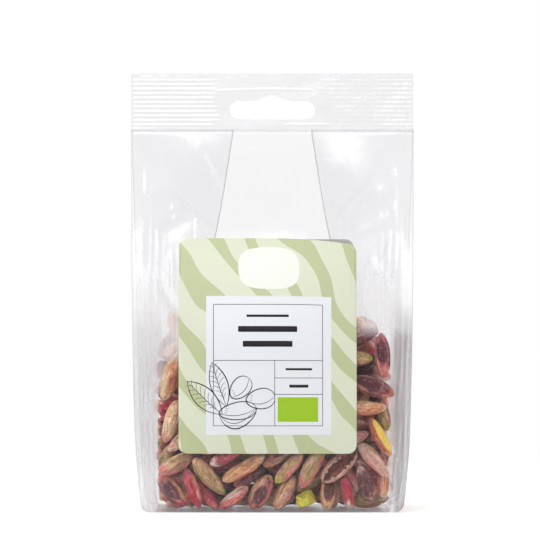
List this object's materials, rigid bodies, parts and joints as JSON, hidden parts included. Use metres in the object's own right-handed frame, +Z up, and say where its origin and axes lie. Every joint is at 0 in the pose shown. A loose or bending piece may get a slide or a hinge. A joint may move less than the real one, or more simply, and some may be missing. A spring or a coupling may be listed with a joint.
{
  "type": "clear side-gusset bag of shelled pistachio kernels",
  "caption": "Clear plastic side-gusset bag with a ribbed, hang-holed top seal, front and back labels, and a fill of shelled pistachio kernels.",
  "frame": {"origin": "on the floor under the middle of the bag's base", "axes": "+X to the right seen from the front, -Y out of the front panel towards the viewer, +Z up"},
  "size_m": [0.109, 0.0588, 0.168],
  "materials": {
    "clear_film": "clear glossy film",
    "label_paper": "satin print, pale green",
    "back_label_paper": "satin, off-white",
    "kernel_skin": "dry wrinkled seed skin, purple-red to tan"
  },
  "bodies": {
    "root": {"bag_film": "clear_film", "heat_seal": "clear_film", "front_label": "label_paper", "back_label": "back_label_paper", "kernel_heap": "kernel_skin", "kernel_01": "kernel_skin", "kernel_02": "kernel_skin", "kernel_03": "kernel_skin", "kernel_04": "kernel_skin", "kernel_05": "kernel_skin", "kernel_06": "kernel_skin", "kernel_07": "kernel_skin", "kernel_08": "kernel_skin", "kernel_09": "kernel_skin", "kernel_10": "kernel_skin", "kernel_11": "kernel_skin", "kernel_12": "kernel_skin", "kernel_13": "kernel_skin", "kernel_14": "kernel_skin", "kernel_15": "kernel_skin", "kernel_16": "kernel_skin", "kernel_17": "kernel_skin", "kernel_18": "kernel_skin", "kernel_19": "kernel_skin", "kernel_20": "kernel_skin", "kernel_21": "kernel_skin", "kernel_22": "kernel_skin", "kernel_23": "kernel_skin", "kernel_24": "kernel_skin", "kernel_25": "kernel_skin", "kernel_26": "kernel_skin", "kernel_27": "kernel_skin", "kernel_28": "kernel_skin", "kernel_29": "kernel_skin", "kernel_30": "kernel_skin", "kernel_31": "kernel_skin", "kernel_32": "kernel_skin", "kernel_33": "kernel_skin", "kernel_34": "kernel_skin", "kernel_35": "kernel_skin", "kernel_36": "kernel_skin", "kernel_37": "kernel_skin", "kernel_38": "kernel_skin", "kernel_39": "kernel_skin", "kernel_40": "kernel_skin", "kernel_41": "kernel_skin", "kernel_42": "kernel_skin", "kernel_43": "kernel_skin", "kernel_44": "kernel_skin", "kernel_45": "kernel_skin", "kernel_46": "kernel_skin", "kernel_47": "kernel_skin", "kernel_48": "kernel_skin", "kernel_49": "kernel_skin", "kernel_50": "kernel_skin", "kernel_51": "kernel_skin", "kernel_52": "kernel_skin", "kernel_53": "kernel_skin", "kernel_54": "kernel_skin", "kernel_55": "kernel_skin"}
  },
  "joints": []
}
